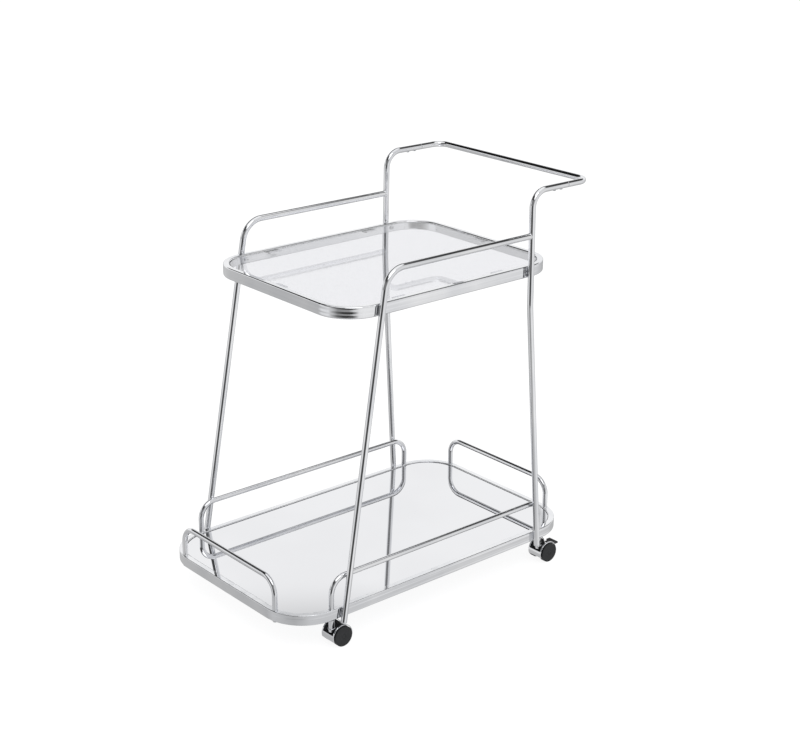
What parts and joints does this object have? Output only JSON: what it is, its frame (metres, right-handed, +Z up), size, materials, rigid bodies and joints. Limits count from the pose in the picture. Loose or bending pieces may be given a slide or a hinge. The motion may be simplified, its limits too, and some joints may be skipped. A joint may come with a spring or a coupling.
{
  "type": "bar cart",
  "caption": "Chrome tube bar cart with a glass upper shelf, a mirror lower shelf with gallery rails, a push handle and twin-wheel casters.",
  "frame": {"origin": "middle of the bounding box on the floor plane, midway between the two side frames", "axes": "+X along the cart towards the push handle, +Y across to the far side frame, +Z up from the floor"},
  "size_m": [0.7708, 0.487, 0.8342],
  "materials": {
    "chrome": "polished chrome plate on steel tube and bar",
    "steel": "bright zinc plated steel fasteners and pins",
    "clear_glass": "clear tempered glass with polished edges",
    "mirror_glass": "silvered mirror glass",
    "black_wheel": "moulded black nylon wheels, fine satin texture",
    "black_plastic": "moulded black nylon caster core and brake pedal",
    "grey_plastic": "moulded grey plastic tube plugs"
  },
  "bodies": {
    "frame": {"lower_band": "chrome", "upper_band": "chrome", "front_leg_near": "chrome", "front_leg_far": "chrome", "rear_leg_near": "chrome", "rear_leg_far": "chrome", "push_handle": "chrome", "gallery_rail_near": "chrome", "gallery_rail_far": "chrome", "gallery_rail_front": "chrome", "gallery_rail_rear": "chrome", "mirror_shelf": "mirror_glass", "glass_shelf": "clear_glass", "lower_front_bolt_near": "steel", "lower_rear_bolt_near": "steel", "upper_front_bolt_near": "steel", "upper_rear_bolt_near": "steel", "handle_screw_near_1": "steel", "handle_screw_near_2": "steel", "lower_front_bolt_far": "steel", "lower_rear_bolt_far": "steel", "upper_front_bolt_far": "steel", "upper_rear_bolt_far": "steel", "handle_screw_far_1": "steel", "handle_screw_far_2": "steel", "front_near_rail_screw": "steel", "front_far_rail_screw": "steel", "rear_near_rail_screw": "steel", "rear_far_rail_screw": "steel", "front_leg_plug_near": "grey_plastic", "front_leg_plug_far": "grey_plastic", "rear_leg_plug_near": "grey_plastic", "rear_leg_plug_far": "grey_plastic"},
    "front_near_swivel": {"front_near_caster_hood": "chrome", "front_near_caster_core": "black_plastic", "front_near_caster_stem": "steel", "front_near_caster_axle": "steel"},
    "front_near_outer_wheel": {"front_near_caster_wheel_outer": "black_wheel"},
    "front_near_inner_wheel": {"front_near_caster_wheel_inner": "black_wheel"},
    "front_far_swivel": {"front_far_caster_hood": "chrome", "front_far_caster_core": "black_plastic", "front_far_caster_stem": "steel", "front_far_caster_axle": "steel"},
    "front_far_outer_wheel": {"front_far_caster_wheel_outer": "black_wheel"},
    "front_far_inner_wheel": {"front_far_caster_wheel_inner": "black_wheel"},
    "rear_near_swivel": {"rear_near_caster_hood": "chrome", "rear_near_caster_core": "black_plastic", "rear_near_caster_stem": "steel", "rear_near_caster_axle": "steel"},
    "rear_near_outer_wheel": {"rear_near_caster_wheel_outer": "black_wheel"},
    "rear_near_inner_wheel": {"rear_near_caster_wheel_inner": "black_wheel"},
    "rear_near_brake": {"rear_near_caster_brake_pedal": "black_plastic"},
    "rear_far_swivel": {"rear_far_caster_hood": "chrome", "rear_far_caster_core": "black_plastic", "rear_far_caster_stem": "steel", "rear_far_caster_axle": "steel"},
    "rear_far_outer_wheel": {"rear_far_caster_wheel_outer": "black_wheel"},
    "rear_far_inner_wheel": {"rear_far_caster_wheel_inner": "black_wheel"},
    "rear_far_brake": {"rear_far_caster_brake_pedal": "black_plastic"}
  },
  "joints": [
    {"name": "front_near_swivel", "type": "hinge", "parent": "frame", "child": "front_near_swivel", "pos_m": [-0.29042, -0.222, 0.021], "axis": [0, 0, 1], "continuous": true},
    {"name": "front_near_outer_wheel_roll", "type": "hinge", "parent": "front_near_swivel", "child": "front_near_outer_wheel", "pos_m": [-0.27642, -0.222, 0.021], "axis": [0, 1, 0], "continuous": true},
    {"name": "front_near_inner_wheel_roll", "type": "hinge", "parent": "front_near_swivel", "child": "front_near_inner_wheel", "pos_m": [-0.27642, -0.222, 0.021], "axis": [0, 1, 0], "continuous": true},
    {"name": "front_far_swivel", "type": "hinge", "parent": "frame", "child": "front_far_swivel", "pos_m": [-0.29042, 0.222, 0.021], "axis": [0, 0, 1], "continuous": true},
    {"name": "front_far_outer_wheel_roll", "type": "hinge", "parent": "front_far_swivel", "child": "front_far_outer_wheel", "pos_m": [-0.27642, 0.222, 0.021], "axis": [0, 1, 0], "continuous": true},
    {"name": "front_far_inner_wheel_roll", "type": "hinge", "parent": "front_far_swivel", "child": "front_far_inner_wheel", "pos_m": [-0.27642, 0.222, 0.021], "axis": [0, 1, 0], "continuous": true},
    {"name": "rear_near_swivel", "type": "hinge", "parent": "frame", "child": "rear_near_swivel", "pos_m": [0.27958, -0.222, 0.021], "axis": [0, 0, 1], "continuous": true},
    {"name": "rear_near_outer_wheel_roll", "type": "hinge", "parent": "rear_near_swivel", "child": "rear_near_outer_wheel", "pos_m": [0.29357, -0.222, 0.021], "axis": [0, 1, 0], "continuous": true},
    {"name": "rear_near_inner_wheel_roll", "type": "hinge", "parent": "rear_near_swivel", "child": "rear_near_inner_wheel", "pos_m": [0.29357, -0.222, 0.021], "axis": [0, 1, 0], "continuous": true},
    {"name": "rear_near_brake_press", "type": "hinge", "parent": "rear_near_swivel", "child": "rear_near_brake", "pos_m": [0.31057, -0.222, 0.032], "axis": [0, 1, 0], "range_deg": [0, 14]},
    {"name": "rear_far_swivel", "type": "hinge", "parent": "frame", "child": "rear_far_swivel", "pos_m": [0.27958, 0.222, 0.021], "axis": [0, 0, 1], "continuous": true},
    {"name": "rear_far_outer_wheel_roll", "type": "hinge", "parent": "rear_far_swivel", "child": "rear_far_outer_wheel", "pos_m": [0.29357, 0.222, 0.021], "axis": [0, 1, 0], "continuous": true},
    {"name": "rear_far_inner_wheel_roll", "type": "hinge", "parent": "rear_far_swivel", "child": "rear_far_inner_wheel", "pos_m": [0.29357, 0.222, 0.021], "axis": [0, 1, 0], "continuous": true},
    {"name": "rear_far_brake_press", "type": "hinge", "parent": "rear_far_swivel", "child": "rear_far_brake", "pos_m": [0.31057, 0.222, 0.032], "axis": [0, 1, 0], "range_deg": [0, 14]}
  ]
}
